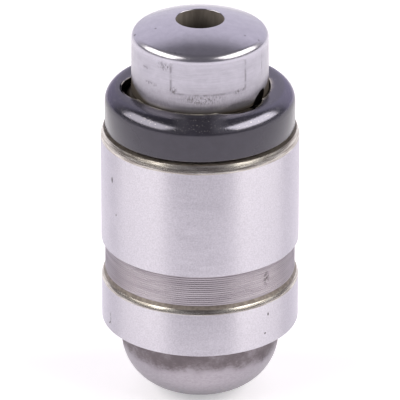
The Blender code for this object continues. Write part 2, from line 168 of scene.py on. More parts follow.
def joinMasks(tree, masks):
    total = masks[0]
    for mask in masks[1:]:
        total = maths(tree, 'MAXIMUM', total, mask)
    return total


# a soft spot on the surface: 1 at its middle, 0 past its edge; an azimuth, the rest in mm
def spotMask(tree, place, azimuth, radius, height, wide, high, softness=0.5):
    middle = facing(azimuth) * (radius * mm)
    offset = vectorMaths(tree, 'SUBTRACT', place, (middle.x, middle.y, height * mm))
    sized = vectorMaths(tree, 'MULTIPLY', offset, (perMm(wide), perMm(wide), perMm(high)))
    return ranged(tree, vectorLength(tree, sized), (1.0, 1.0 - softness),
                  interpolation_type='SMOOTHSTEP')


def newMaterial(name):
    material = bpy.data.materials.new(name)
    material.use_nodes = True
    return material, material.node_tree


# where on the piece a point is
def objectPlace(tree):
    return addNode(tree, "ShaderNodeTexCoord").outputs["Object"]


def shadeWith(tree, inputs):
    feed(tree, tree.nodes["Principled BSDF"], inputs)


# outlines and turned meshes

# corners are (radius, z, fillet, zone); the zone belongs to the stretch that starts there
def roundCorners(corners, steps=8):
    points = []
    for i, (r, z, fillet, zone) in enumerate(corners):
        if fillet <= 0 or i in (0, len(corners) - 1):
            points.append((r, z, zone))
            continue
        corner = Vector((r, z))
        toBefore = Vector(corners[i - 1][:2]) - corner
        toAfter = Vector(corners[i + 1][:2]) - corner
        half = toBefore.angle(toAfter) / 2
        tangent = fillet / math.tan(half)
        middle = (toBefore.normalized() + toAfter.normalized()).normalized()
        centre = corner + middle * (fillet / math.sin(half))
        start = corner + toBefore.normalized() * tangent - centre
        end = corner + toAfter.normalized() * tangent - centre
        turn = math.atan2(start.x * end.y - start.y * end.x, start.dot(end))
        for k in range(steps + 1):
            a = turn * k / steps
            x = start.x * math.cos(a) - start.y * math.sin(a)
            y = start.x * math.sin(a) + start.y * math.cos(a)
            points.append((centre.x + x, centre.y + y, zone if k == steps else corners[i - 1][3]))
    return points


def arcPoints(centre, radius, startDeg, endDeg, steps, zone):
    points = []
    for k in range(steps + 1):
        a = math.radians(startDeg + (endDeg - startDeg) * k / steps)
        points.append((centre[0] + radius * math.cos(a), centre[1] + radius * math.sin(a), zone))
    return points


# revolves an outline that runs down its outer side; sizes in metres
def turnedPiece(name, outline, materials, segments=256, closed=False):
    bm = bmesh.new()
    rings = []
    for r, z, zone in outline:
        if r < tiny:
            rings.append([bm.verts.new((0, 0, z))])
            continue
        angles = [math.tau * k / segments for k in range(segments)]
        rings.append([bm.verts.new((r * math.cos(a), r * math.sin(a), z)) for a in angles])
    pairs = [(i, i + 1) for i in range(len(rings) - 1)]
    if closed:
        pairs.append((len(rings) - 1, 0))
    for i, j in pairs:
        upper, lower = rings[i], rings[j]
        for k in range(segments):
            n = (k + 1) % segments
            if len(upper) == 1:
                corners = (upper[0], lower[k], lower[n])
            elif len(lower) == 1:
                corners = (upper[k], lower[0], upper[n])
            else:
                corners = (upper[k], lower[k], lower[n], upper[n])
            bm.faces.new(corners).material_index = outline[i][2]
    return finishMesh(name, bm, materials)


def finishMesh(name, bm, materials, sharp=30):
    mesh = bpy.data.meshes.new(name)
    bm.to_mesh(mesh)
    bm.free()
    for material in materials:
        mesh.materials.append(material)
    mesh.shade_smooth()
    mesh.set_sharp_from_angle(angle=math.radians(sharp))
    piece = bpy.data.objects.new(name, mesh)
    bpy.context.scene.collection.objects.link(piece)
    return piece


# a merged, smooth copy of a CAD node, for the pieces whose solid is already right
def smoothCopy(node, name, material):
    bm = bmesh.new()
    bm.from_mesh(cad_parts[node].data)
    bmesh.ops.remove_doubles(bm, verts=bm.verts, dist=tiny)
    for face in bm.faces:
        face.material_index = 0
    return finishMesh(name, bm, [material])


# materials

# in each look a noise has its size in mm, detail and roughness, a bump its strength and its depth
# in mm, and a pair of numbers is the range that a value is taken from or carried to

groundLook = {
    "steel": "#d3cfd9", "shade": "#c4c0ca", "pit": "#4c4648", "grain": 0.12, "tone": (0.35, 0.65),
    "lines": {"size": (2.6, 0.07), "detail": 3.0, "roughness": 0.6}, "spread": (0.3, 0.7),
    "bump": (0.5, 0.004), "roughness": (0.32, 0.43), "anisotropy": 0.95, "anisotropyTurn": 0.25,
    # azimuth, height, half width and half height of each pit and nick on the lands
    "marks": [(-61.4, 21.33, 0.13, 0.36), (-57.1, 18.30, 0.07, 0.14), (40.9, 7.96, 0.12, 0.11),
              (43.2, 9.67, 0.10, 0.20), (-65.3, 8.30, 0.05, 0.26), (-64.6, 7.95, 0.06, 0.22),
              (-65.0, 7.62, 0.09, 0.16), (-66.6, 7.45, 0.14, 0.09)],
}


# centreless ground bearing steel: satin, lilac-white, hair lines run round the part
def groundSteel():
    look = groundLook
    material, tree = newMaterial("groundSteel")
    place = objectPlace(tree)
    lines = noiseOf(tree, place, **look["lines"])
    tone = ranged(tree, noiseOf(tree, place, look["grain"]), look["tone"])
    marks = joinMasks(tree, [spotMask(tree, place, azimuth, cadHigh.x / mm, height, wide, high)
                             for azimuth, height, wide, high in look["marks"]])
    shadeWith(tree, {
        "Base Color": blend(tree, marks, blend(tree, tone, look["shade"], look["steel"]), look["pit"]),
        "Roughness": ranged(tree, lines, look["spread"], look["roughness"]),
        "Normal": bumped(tree, lines, *look["bump"]),
        "Tangent": output(tree, "ShaderNodeTangent", direction_type='RADIAL', axis='Z'),
        "Metallic": 1.0, "Anisotropic": look["anisotropy"],
        "Anisotropic Rotation": look["anisotropyTurn"]})
    return material


grooveLook = {
    "high": "#aea7ae", "low": "#9c959c", "stain": "#4f4749", "roughness": 0.29,
    "lines": {"size": (5.0, 0.30), "roughness": 0.6}, "tone": (0.35, 0.65), "bump": (0.2, 0.002),
    # azimuth, radius, height, half width, half height and softness of the stain, and its speckle
    "stainAt": (43.7, 8.15, 12.95, 0.5, 0.95, 0.9), "speckle": 0.22, "speckleTone": (0.4, 0.55),
    "speckleCover": (0.0, 0.85),
}


# groove floor left as turned: duller and browner than the ground lands, with a stain on the right
def turnedSteel():
    look = grooveLook
    material, tree = newMaterial("turnedSteel")
    place = objectPlace(tree)
    lines = noiseOf(tree, place, **look["lines"])
    base = blend(tree, ranged(tree, lines, look["tone"]), look["low"], look["high"])
    speckle = ranged(tree, noiseOf(tree, place, look["speckle"]), look["speckleTone"],
                     look["speckleCover"])
    stain = multiplied(tree, spotMask(tree, place, *look["stainAt"]), speckle)
    shadeWith(tree, {
        "Base Color": blend(tree, stain, base, look["stain"]), "Metallic": 1.0,
        "Normal": bumped(tree, lines, *look["bump"]), "Roughness": look["roughness"]})
    return material


noseLook = {
    "clean": "#aba5ad", "low": "#757079", "scale": "#655d62", "rust": "#827a7d",
    "roughness": (0.36, 0.51), "bump": (0.5, 0.02), "wide": {"size": 1.6, "detail": 3.0},
    "fine": {"size": (0.30, 0.14), "detail": 4.0, "roughness": 0.75},
    # heights over which the scale thickens, and below which the steel gets darker to the tip, a painted
    # shade
    "scaleRise": (2.9, 5.1), "tipShadeFall": (3.0, 0.6),
    # height and both noises are added up, and scale covers what is over this range
    "cover": (1.38, 2.12), "grain": (0.35, 0.65), "grainGain": (0.86, 1.08),
}


# nose as heat treated: dark mottled scale under the band, rubbed to grey steel at the tip, with painted
# shade darkening the steel towards the tip
def scaledSteel():
    look = noseLook
    material, tree = newMaterial("scaledSteel")
    place = objectPlace(tree)
    height = addNode(tree, "ShaderNodeSeparateXYZ", {0: place}).outputs["Z"]
    fine = noiseOf(tree, place, **look["fine"])
    wide = noiseOf(tree, place, **look["wide"])
    rise = byHeight(tree, height, look["scaleRise"], interpolation_type='SMOOTHSTEP')
    total = maths(tree, 'ADD', maths(tree, 'ADD', rise, wide), fine)
    cover = ranged(tree, total, look["cover"], interpolation_type='SMOOTHSTEP')
    # painted shade: the bare steel gets darker towards the tip
    clean = blend(tree, byHeight(tree, height, look["tipShadeFall"]), look["clean"], look["low"])
    grainy = brightened(tree, clean, ranged(tree, fine, look["grain"], look["grainGain"]))
    scale = blend(tree, wide, look["rust"], look["scale"])
    shadeWith(tree, {
        "Base Color": blend(tree, cover, grainy, scale), "Metallic": 1.0,
        "Roughness": ranged(tree, cover, (0.0, 1.0), look["roughness"]),
        "Normal": bumped(tree, fine, *look["bump"])})
    return material


headLook = {
    "steel": "#b7b4be", "shade": "#a8a5af", "mark": "#6b676b", "oilAndShade": "#564f49", "line": "#89868d",
    # radius of the side, the heights between which dome turns to side, and the painted light that makes
    # the dome's colour brighter than the side's
    "side": 5.86, "sideFrom": (32.85, 32.35), "paintedDomeGain": 1.17,
    "roughness": 0.19, "cornerRoughness": 0.26, "sideRoughness": 0.32, "cornerFrom": (33.75, 33.35),
    "lines": {"size": (1.6, 0.09), "detail": 4.0, "roughness": 0.65},
    "cloud": {"size": 0.7, "detail": 5.0, "roughness": 0.62}, "cloudShare": 0.45,
    "domeCalm": (0.30, 0.70), "tone": (0.36, 0.62), "bump": (0.4, 0.004),
    # the side gets darker from this height down towards the neck, and below the neck's heights, in mm,
    # it turns to oil and painted shade
    "darkeningFrom": (30.9, 28.7), "darkeningRange": (0.0, 0.34), "patches": (0.3, 0.7), "patchGain": (0.6, 1.3),
    "neckFrom": (28.80, 28.25), "neckMetal": 0.25,
    # at both sides the oil and painted shade at the foot climbs by this much, between these azimuths
    "shadeClimb": 0.95, "shadeClimbFrom": (46.0, 82.0),
    # painted shadow in the notch at the front right, a dark oval on the head's side: azimuth, height,
    # half sizes and lean
    "pocket": (58.5, 28.45, 1.15, 0.54, 33.0), "paintedShadowColour": "#090707", "paintedShadowEdge": (1.05, 0.85),
    # faint outline that a holding tool left on the front: azimuth, height and half sizes in mm
    "printAzimuth": 8.0, "printHeight": 31.35, "printHalf": (3.36, 1.38), "printCorner": 0.35,
    "printLine": 0.17, "breaks": (0.40, 0.56), "breakCover": (0.15, 1.0),
    # azimuth, height, half width and half height of rubbed places with dark specks
    "scuffs": [(2.0, 29.55, 2.4, 0.62), (-23.0, 30.25, 0.55, 0.5), (-31.0, 32.3, 1.1, 0.5),
               (36.0, 29.9, 0.9, 0.35), (-45.0, 30.35, 1.0, 0.24), (-52.0, 31.6, 0.6, 0.2)],
    "scuffSoftness": 0.8, "specks": {"size": (0.15, 0.30), "detail": 3.0, "roughness": 0.7},
    "speckTone": (0.46, 0.60), "speckCover": (0.0, 0.9),
    # azimuth, radius, height and half size of single marks on the dome
    "spots": [(-72.7, 3.92, 34.08, 0.10), (-80.0, 5.62, 33.42, 0.16), (59.1, 4.42, 33.92, 0.08),
              (65.2, 5.43, 33.51, 0.09), (-22.6, 5.42, 33.51, 0.07), (-16.9, 5.44, 33.51, 0.06)],
    # azimuth, lower and upper height of upright scratches on the side, and their half width
    "scratches": [(40.8, 30.2, 32.7), (63.0, 30.6, 32.6), (-31.8, 31.9, 33.0), (-24.9, 30.3, 32.7)],
    "scratchHalf": 0.045,
}


# distance from the print's outline, a rounded rectangle laid on the head's side
def printDistance(tree, angle, height):
    look = headLook
    turned = maths(tree, 'SUBTRACT', angle, math.radians(look["printAzimuth"]))
    lift = maths(tree, 'SUBTRACT', height, look["printHeight"] * mm)
    flat = output(tree, "ShaderNodeCombineXYZ", {"X": multiplied(tree, turned, look["side"] * mm),
                                                 "Y": lift})
    corner = look["printCorner"]
    inner = [(half - corner) * mm for half in look["printHalf"]]
    outside = vectorMaths(tree, 'SUBTRACT', vectorMaths(tree, 'ABSOLUTE', flat), (*inner, 0.0))
    reach = vectorLength(tree, vectorMaths(tree, 'MAXIMUM', outside, (0.0, 0.0, 0.0)))
    return maths(tree, 'ABSOLUTE', maths(tree, 'SUBTRACT', reach, corner * mm))


# thin upright lines on the side, each from one height to another
def uprightLines(tree, angle, height):
    look = headLook
    masks = []
    for azimuth, low, high in look["scratches"]:
        near = maths(tree, 'COMPARE', angle, math.radians(azimuth), look["scratchHalf"] / look["side"])
        tall = maths(tree, 'COMPARE', height, (low + high) / 2 * mm, (high - low) / 2 * mm)
        masks.append(multiplied(tree, near, tall))
    return joinMasks(tree, masks)


# a leaning oval on the side, 1 inside it, where the painted shadow goes
def paintedShadowMask(tree, angle, height):
    look = headLook
    azimuth, low, wide, high, lean = look["pocket"]
    radius = look["side"] * mm
    flat = output(tree, "ShaderNodeCombineXYZ", {"X": multiplied(tree, angle, radius), "Y": height})
    leant = output(tree, "ShaderNodeMapping",
                   {"Vector": flat, "Location": (math.radians(azimuth) * radius, low * mm, 0),
                    "Rotation": (0, 0, math.radians(lean)), "Scale": (wide * mm, high * mm, 1.0)},
                   vector_type='TEXTURE')
    return ranged(tree, vectorLength(tree, leant), look["paintedShadowEdge"])


# plunger head: dome polished and painted brighter than the side, side ground and handled, oil and
# painted shade down by the neck, a painted shadow in the front right notch
def polishedSteel():
    look = headLook
    material, tree = newMaterial("polishedSteel")
    place = objectPlace(tree)
    parts = addNode(tree, "ShaderNodeSeparateXYZ", {0: place}).outputs
    height = parts["Z"]
    angle = maths(tree, 'ARCTAN2', parts["X"], multiplied(tree, parts["Y"], -1.0))
    isSide = byHeight(tree, height, look["sideFrom"])
    cloud = noiseOf(tree, place, **look["cloud"])
    streaks = blendValues(tree, look["cloudShare"], noiseOf(tree, place, **look["lines"]), cloud)
    calm = ranged(tree, cloud, (0.0, 1.0), look["domeCalm"])
    tone = ranged(tree, blendValues(tree, isSide, calm, streaks), look["tone"])
    # painted light: the dome's colour is made brighter than the side's
    colour = brightened(tree, blend(tree, tone, look["shade"], look["steel"]),
                        ranged(tree, isSide, (0.0, 1.0), (look["paintedDomeGain"], 1.0)))

    # broken print outline and upright scratches
    outline = ranged(tree, printDistance(tree, angle, height), (look["printLine"] * mm, 0.0))
    strokes = joinMasks(tree, [outline, uprightLines(tree, angle, height)])
    broken = multiplied(tree, strokes, ranged(tree, cloud, look["breaks"], look["breakCover"]))
    colour = blend(tree, multiplied(tree, broken, isSide), colour, look["line"])

    # dark specks where the side was rubbed, and single spots on the dome
    rubbed = joinMasks(tree, [spotMask(tree, place, azimuth, look["side"], up, wide, high,
                                       look["scuffSoftness"])
                              for azimuth, up, wide, high in look["scuffs"]])
    grain = noiseOf(tree, place, **look["specks"])
    dots = ranged(tree, grain, look["speckTone"], look["speckCover"])
    spots = joinMasks(tree, [spotMask(tree, place, azimuth, radius, up, half, half)
                             for azimuth, radius, up, half in look["spots"]])
    colour = blend(tree, joinMasks(tree, [multiplied(tree, rubbed, dots), spots]), colour, look["mark"])

    # a light darkening low on the side, growing towards the bottom; oil and painted shade, thick on the
    # neck and under the cap and higher at both sides
    veil = multiplied(tree, byHeight(tree, height, look["darkeningFrom"], look["darkeningRange"]),
                      ranged(tree, grain, look["patches"], look["patchGain"]))
    shadeClimb = ranged(tree, maths(tree, 'ABSOLUTE', angle), [math.radians(a) for a in look["shadeClimbFrom"]],
                   (0.0, look["shadeClimb"] * mm))
    neck = byHeight(tree, maths(tree, 'SUBTRACT', height, shadeClimb), look["neckFrom"])
    colour = blend(tree, joinMasks(tree, [veil, neck]), colour, look["oilAndShade"])
    # painted shadow: a black oval where the notch at the front right lies in shade
    pocket = paintedShadowMask(tree, angle, height)

    rough = byHeight(tree, height, look["cornerFrom"], (look["roughness"], look["cornerRoughness"]))
    metal = multiplied(tree, ranged(tree, neck, (0.0, 1.0), (1.0, look["neckMetal"])),
                       maths(tree, 'SUBTRACT', 1.0, pocket))
    # no gloss on the painted shadow and on the oil and painted shade, the only parts that aren't metal
    shadeWith(tree, {
        "Base Color": blend(tree, pocket, colour, look["paintedShadowColour"]), "Metallic": metal,
        "Roughness": blendValues(tree, isSide, rough, look["sideRoughness"]),
        "Normal": bumped(tree, streaks, *look["bump"]), "Specular IOR Level": 0.0})
    return material


drilledLook = {
    "light": "#958c86", "dark": "#7b726c", "roughness": 0.62, "metal": 0.45,
    "streaks": {"size": (0.5, 2.5), "detail": 3.0}, "tone": (0.35, 0.65),
    # painted shade: the hole gets darker from its mouth down, in mm
    "depth": (32.6, 34.3), "paintedShadeGain": (0.35, 1.0),
}


# drilled oil hole: matt, brown-grey, with a film of oil, and painted shade that deepens down the hole
def drilledSteel():
    look = drilledLook
    material, tree = newMaterial("drilledSteel")
    place = objectPlace(tree)
    height = addNode(tree, "ShaderNodeSeparateXYZ", {0: place}).outputs["Z"]
    tone = ranged(tree, noiseOf(tree, place, **look["streaks"]), look["tone"])
    # painted shade, darker deeper in the hole
    shade = byHeight(tree, height, look["depth"], look["paintedShadeGain"])
    shadeWith(tree, {
        "Base Color": brightened(tree, blend(tree, tone, look["dark"], look["light"]), shade),
        "Metallic": look["metal"], "Roughness": look["roughness"]})
    return material


oxideLook = {
    "oxide": "#2a2830", "bloom": "#302e37", "bareAndHighlight": "#d8d0c5", "rub": "#cfc9c6", "tint": "#e2deeb",
    "cloud": {"size": 1.1, "detail": 4.0, "roughness": 0.6}, "fine": 0.12, "tone": (0.35, 0.65),
    "spread": (0.3, 0.7), "roughness": (0.16, 0.24), "bump": (0.4, 0.010), "ior": 1.74,
    "breaks": (0.40, 0.60), "breakCover": (0.15, 1.0), "edgeMetal": 0.35,
    # thin oxide on the drawn corner, right and left, with painted light: lighter on the right than on
    # the left, and left out of the middle, a painted dark reflection;
    # from these heights up, weaker on the flat top, and from these distances off the middle outwards
    "litCornerRight": "#706e7a", "shadedCornerLeft": "#5f5d67", "cornerFrom": (27.35, 27.6),
    "flatFrom": (28.33, 28.25), "flatCover": (0.6, 1.0), "asideFrom": (0.8, 2.4),
    "specks": (0.64, 0.76), "speckCover": (0.0, 0.6),
}


# hot blacked drawn sheet: a thin glossy blue-black oxide over steel, oily, bare at sheared edges with a
# painted highlight along them, and painted light on the drawn corner
def blackOxide():
    look = oxideLook
    material, tree = newMaterial("blackOxide")
    place = objectPlace(tree)
    cloud = noiseOf(tree, place, **look["cloud"])
    fine = noiseOf(tree, place, look["fine"])
    base = blend(tree, ranged(tree, cloud, look["tone"]), look["oxide"], look["bloom"])
    # bare steel and a painted highlight along the sheared edges
    wornAndLit = addNode(tree, "ShaderNodeAttribute", attribute_name="edgeWearAndHighlight").outputs["Fac"]
    edge = multiplied(tree, wornAndLit, ranged(tree, cloud, look["breaks"], look["breakCover"]))
    # the drawn corner is rubbed: it mirrors more, with painted light in its colour, and bright steel
    # shows in a few fine specks
    parts = addNode(tree, "ShaderNodeSeparateXYZ", {0: place}).outputs
    corner = multiplied(tree, byHeight(tree, parts["Z"], look["cornerFrom"]),
                        byHeight(tree, parts["Z"], look["flatFrom"], look["flatCover"]))
    aside = byHeight(tree, maths(tree, 'ABSOLUTE', parts["X"]), look["asideFrom"])
    thinOxideAndLight = multiplied(tree, corner, aside)
    rubbed = multiplied(tree, corner, ranged(tree, fine, look["specks"], look["speckCover"]))
    # painted light: the corner's colour is lighter on the right than on the left
    isRight = maths(tree, 'GREATER_THAN', parts["X"], 0.0)
    colour = blend(tree, thinOxideAndLight, base, blend(tree, isRight, look["shadedCornerLeft"], look["litCornerRight"]))
    colour = blend(tree, rubbed, colour, look["rub"])
    shadeWith(tree, {
        "Base Color": blend(tree, edge, colour, look["bareAndHighlight"]),
        "Roughness": ranged(tree, fine, look["spread"], look["roughness"]),
        "Metallic": joinMasks(tree, [rubbed, thinOxideAndLight, multiplied(tree, edge, look["edgeMetal"])]),
        "Normal": bumped(tree, cloud, *look["bump"]), "IOR": look["ior"],
        "Specular Tint": hexColour(look["tint"])})
    return material


# a steel whose colour and bump come from one grain
def grainedSteel(name, light, dark, roughness, grain, bump, tone=(0.35, 0.65), metallic=1.0):
    material, tree = newMaterial(name)
    grains = noiseOf(tree, objectPlace(tree), **grain)
    shadeWith(tree, {
        "Base Color": blend(tree, ranged(tree, grains, tone), dark, light), "Metallic": metallic,
        "Normal": bumped(tree, grains, *bump), "Roughness": roughness})
    return material


# plain steels of the pieces inside, each with a grain of this size and a bump of this depth in mm
def innerSteel(name, light, dark, roughness, size, depth, metallic=1.0):
    return grainedSteel(name, light, dark, roughness, {"size": size, "detail": 3.0}, (0.4, depth),
                        metallic=metallic)


steelGround = groundSteel()
steelTurned = turnedSteel()
# edges turned to shape and left unground: tool lines run round them, warm grey where oil stays
steelEdge = grainedSteel("edgeSteel", "#d3cec9", "#928a84", 0.27,
                         {"size": (2.2, 0.09), "detail": 3.0, "roughness": 0.6}, (0.5, 0.008),
                         tone=(0.38, 0.60))
steelScaled = scaledSteel()
steelPolished = polishedSteel()
steelDrilled = drilledSteel()
oxideBlack = blackOxide()
steelBored = innerSteel("boredSteel", "#8f8988", "#6f6967", 0.38, 0.5, 0.004)      # bored, oily
steelOily = innerSteel("oilySteel", "#8c827c", "#6b625d", 0.45, 0.35, 0.004, 0.4)  # oil film, dust
steelLapped = innerSteel("lappedSteel", "#cfcccf", "#bcb8bd", 0.20, 0.3, 0.001)    # lapped to fit
steelBall = innerSteel("ballSteel", "#dcdadc", "#d0ced1", 0.06, 0.8, 0.0002)       # polished ball
steelWire = innerSteel("springWire", "#77726f", "#5b5654", 0.34, 0.25, 0.003)      # drawn wire
steelStamped = innerSteel("stampedSteel", "#a8a4a2", "#8f8b8a", 0.34, 0.4, 0.004)  # pressed strip
print("materials ready")


# housing

housingSize = {
    "noseDome": 11.0, "noseCorner": 4.5, "noseSide": 6.82, "noseHeight": 6.73,
    "land": 8.5, "bandTop": 10.77, "bandEdge": 0.12, "grooveWall": 0.65, "grooveFloor": 8.15,
    "grooveTop": 14.28, "landEdge": 0.04, "grooveFillet": 0.05, "grooveFootFillet": 0.08,
    "shoulder": 24.57, "shoulderFillet": 0.1, "taper": 0.72, "taperDepth": 0.24,
    "wallSplit": 0.32, "wallCurve": 0.10, "crimpRadius": 7.38, "crimpTop": 25.71, "crimpLead": 0.15,
    "spigot": 7.53, "spigotTop": 27.76, "spigotCorner": 0.78,
    "boreMouth": 6.95, "bore": 6.45, "boreMouthHeight": 0.60, "boreBottom": 8.80, "boreFillet": 0.4,
    "pocket": 5.00, "pocketBottom": 4.95, "pocketFillet": 0.5,
}
edgeBend = 1.4   # how much more an edge leans in at its top than at its foot
ground, turned, scaled, bored, edged, oiled = range(6)


# an edge rubbed round: it leans in more and more from its foot up, listed from the top down
def curvedEdge(radius, foot, height, depth, steps=8):
    shares = [1 - k / steps for k in range(steps)]
    return [(radius - depth * t ** edgeBend, foot + height * t, 0, edged) for t in shares]


def housingOutline():
    s = {key: value * mm for key, value in housingSize.items()}
    inside = roundCorners([
        (0, s["pocketBottom"], 0, bored),
        (s["pocket"], s["pocketBottom"], s["pocketFillet"], bored),
        (s["pocket"], s["boreBottom"], 0, bored),
        (s["bore"], s["boreBottom"], s["boreFillet"], bored),
        (s["bore"], s["spigotTop"] - s["boreMouthHeight"], 0, bored),
    ])
    cornerX = s["spigot"] - s["spigotCorner"]
    mouthDeg = math.degrees(math.acos((s["boreMouth"] - cornerX) / s["spigotCorner"]))
    spigotTop = arcPoints((cornerX, s["spigotTop"] - s["spigotCorner"]), s["spigotCorner"],
                          mouthDeg, 0, 10, oiled)
    taperFoot = s["shoulder"] - s["taper"]
    wallFoot = s["bandTop"] - s["wallCurve"]
    wallDepth = (s["land"] - s["grooveFloor"]) * s["wallSplit"] / s["grooveWall"]
    outside = roundCorners([
        (s["spigot"], s["crimpTop"], 0, oiled),
        (s["crimpRadius"], s["crimpTop"] - s["crimpLead"], 0, oiled),
        (s["crimpRadius"], s["shoulder"], s["shoulderFillet"], oiled),
        *curvedEdge(s["land"], taperFoot, s["taper"], s["taperDepth"]),
        (s["land"], taperFoot, 0, ground),
        (s["land"], s["grooveTop"], s["landEdge"], turned),
        (s["grooveFloor"], s["grooveTop"], s["grooveFillet"], turned),
        (s["grooveFloor"], s["bandTop"] + s["grooveWall"], s["grooveFootFillet"], oiled),
        *curvedEdge(s["land"], wallFoot, s["wallSplit"] + s["wallCurve"], wallDepth),
        (s["land"], wallFoot, 0, ground),
        (s["land"], s["noseHeight"], s["bandEdge"], turned),
        (s["noseSide"], s["noseHeight"], 0, scaled),
    ], 5)
    cornerAt = s["noseSide"] - s["noseCorner"]
    drop = math.sqrt((s["noseDome"] - s["noseCorner"]) ** 2 - cornerAt ** 2)
    blendDeg = math.degrees(math.atan2(drop, cornerAt))
    corner = arcPoints((cornerAt, s["noseDome"] - drop), s["noseCorner"], 0, -blendDeg, 24, scaled)
    dome = arcPoints((0, s["noseDome"]), s["noseDome"], -blendDeg, -90, 10, scaled)[1:]
    dome[-1] = (0, 0, scaled)
    return inside + spigotTop + outside + corner + dome


housing = turnedPiece("housingSkin", housingOutline(),
                      [steelGround, steelTurned, steelScaled, steelBored, steelEdge, steelOily])
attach(housing, "cylinder")
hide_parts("housing")
print("housing ready")


# a geometry node tree with these inputs, and its input sockets
def geometryTree(name, inputs):
    tree = bpy.data.node_groups.new(name, 'GeometryNodeTree')
    for key, kind in inputs.items():
        tree.interface.new_socket(key, in_out='INPUT', socket_type='NodeSocket' + kind)
    tree.interface.new_socket("Geometry", in_out='OUTPUT', socket_type='NodeSocketGeometry')
    return tree, addNode(tree, "NodeGroupInput").outputs


# a round rod along a curve
def sweptRod(tree, curve, radius, sides, caps=False):
    section = output(tree, "GeometryNodeCurvePrimitiveCircle", {"Resolution": sides, "Radius": radius})
    return output(tree, "GeometryNodeCurveToMesh", {"Curve": curve, "Profile Curve": section,
                                                    "Fill Caps": caps})


# ends a tree: what it made gets its material and goes out
def finishTree(tree, geometry, material):
    painted = output(tree, "GeometryNodeSetMaterial", {"Geometry": geometry, "Material": material})
    addNode(tree, "NodeGroupOutput", {"Geometry": painted})
    return tree


# runs a tree on an empty mesh and keeps the result as a plain mesh object
def nodesPiece(name, tree, values):
    carrier = bpy.data.objects.new(name, bpy.data.meshes.new(name))
    bpy.context.scene.collection.objects.link(carrier)
    modifier = carrier.modifiers.new("Nodes", 'NODES')
    modifier.node_group = tree
    for item in tree.interface.items_tree:
        if item.in_out == 'INPUT' and item.name in values:
            modifier[item.identifier] = values[item.name]
    graph = bpy.context.evaluated_depsgraph_get()
    graph.update()
    mesh = bpy.data.meshes.new_from_object(carrier.evaluated_get(graph), depsgraph=graph)
    carrier.modifiers.remove(modifier)
    carrier.data = mesh
    return carrier


# rings that the turning tool left on the groove floor, one ridge for each pitch

ringSize = {"Radius": 8.145, "Lowest": 11.53, "Pitch": 0.19, "Ridge": 0.045}
ringCount, ringSteps, ridgeSides = 14, 192, 6


def ringTree():
    tree, given = geometryTree("toolRings", {**dict.fromkeys(ringSize, "Float"), "Count": "Int",
                                             "Material": "Material"})
    heights = output(tree, "GeometryNodeMeshLine", {
        "Count": given["Count"],
        "Start Location": output(tree, "ShaderNodeCombineXYZ", {"Z": given["Lowest"]}),
        "Offset": output(tree, "ShaderNodeCombineXYZ", {"Z": given["Pitch"]})}, mode='OFFSET')
    ring = output(tree, "GeometryNodeCurvePrimitiveCircle",
                  {"Resolution": ringSteps, "Radius": given["Radius"]})
    ridge = sweptRod(tree, ring, given["Ridge"], ridgeSides)
    copies = output(tree, "GeometryNodeInstanceOnPoints", {"Points": heights, "Instance": ridge})
    real = output(tree, "GeometryNodeRealizeInstances", {"Geometry": copies})
    smooth = output(tree, "GeometryNodeSetShadeSmooth", {"Geometry": real})
    return finishTree(tree, smooth, given["Material"])


ringValues = {key: value * mm for key, value in ringSize.items()}
rings = nodesPiece("toolRings", ringTree(), {**ringValues, "Count": ringCount,
                                             "Material": steelTurned})
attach(rings, "cylinder")
print("tool rings ready,", len(rings.data.polygons), "faces")


# drawn cap with three notches

capSize = {
    "radius": 8.13, "sheet": 0.55, "bottom": 24.86, "top": 28.36, "corner": 1.38, "edge": 0.06,
    # each notch is the bite of a round punch, whose centre stands this far from the axis
    "hole": 6.00, "punch": 3.00, "punchCentre": 3.71, "notchCount": 3, "firstNotch": 37.0,
    # the burr stands up near the notches' sides, and the hole's edge wavers there; both follow a
    # noise of these scales, and the burr is this high at its middle value and rises this much
    "burr": 0.07, "burrReach": 0.25, "waver": 0.02, "noiseScales": (9.0, 31.0),
    "burrLevel": 0.6, "burrRise": 0.8,
    "crimp": 7.43, "crimpTop": 25.36, "crimpLead": 0.15,
}
capSteps = 300
notchSteps = (-1.6, -0.8, -0.4, -0.02, 0.02, 0.4, 0.9)   # degrees past each side of a notch


# where the punch's circle crosses the hole's, in degrees from the notch's middle
def notchHalfWidth():
    s = capSize
    shared = s["punchCentre"] ** 2 + s["hole"] ** 2 - s["punch"] ** 2
    return math.degrees(math.acos(shared / (2 * s["punchCentre"] * s["hole"])))


# how far the hole reaches at this azimuth, and how near the tip of a notch's side it is
def holeReach(azimuth):
    s = capSize
    spacing = 360.0 / s["notchCount"]
    away = math.radians((azimuth - s["firstNotch"] + spacing / 2) % spacing - spacing / 2)
    side = math.radians(notchHalfWidth())
    nearSide = math.exp(-((abs(away) - side) * s["hole"] / s["burrReach"]) ** 2)
    if abs(away) >= side:
        return s["hole"], nearSide
    offset = s["punchCentre"] * math.sin(away)
    return s["punchCentre"] * math.cos(away) + math.sqrt(s["punch"] ** 2 - offset ** 2), nearSide


# even steps round the cap, with more of them at both sides of each notch
def capAzimuths():
    s = capSize
    azimuths = {round(360.0 * k / capSteps, 3) for k in range(capSteps)}
    for n in range(s["notchCount"]):
        middle = s["firstNotch"] + n * 360.0 / s["notchCount"]
        for side in (-1, 1):
            foot = middle + side * notchHalfWidth()
            azimuths.update(round((foot + side * step) % 360, 3) for step in notchSteps)
    return sorted(azimuths, reverse=True)


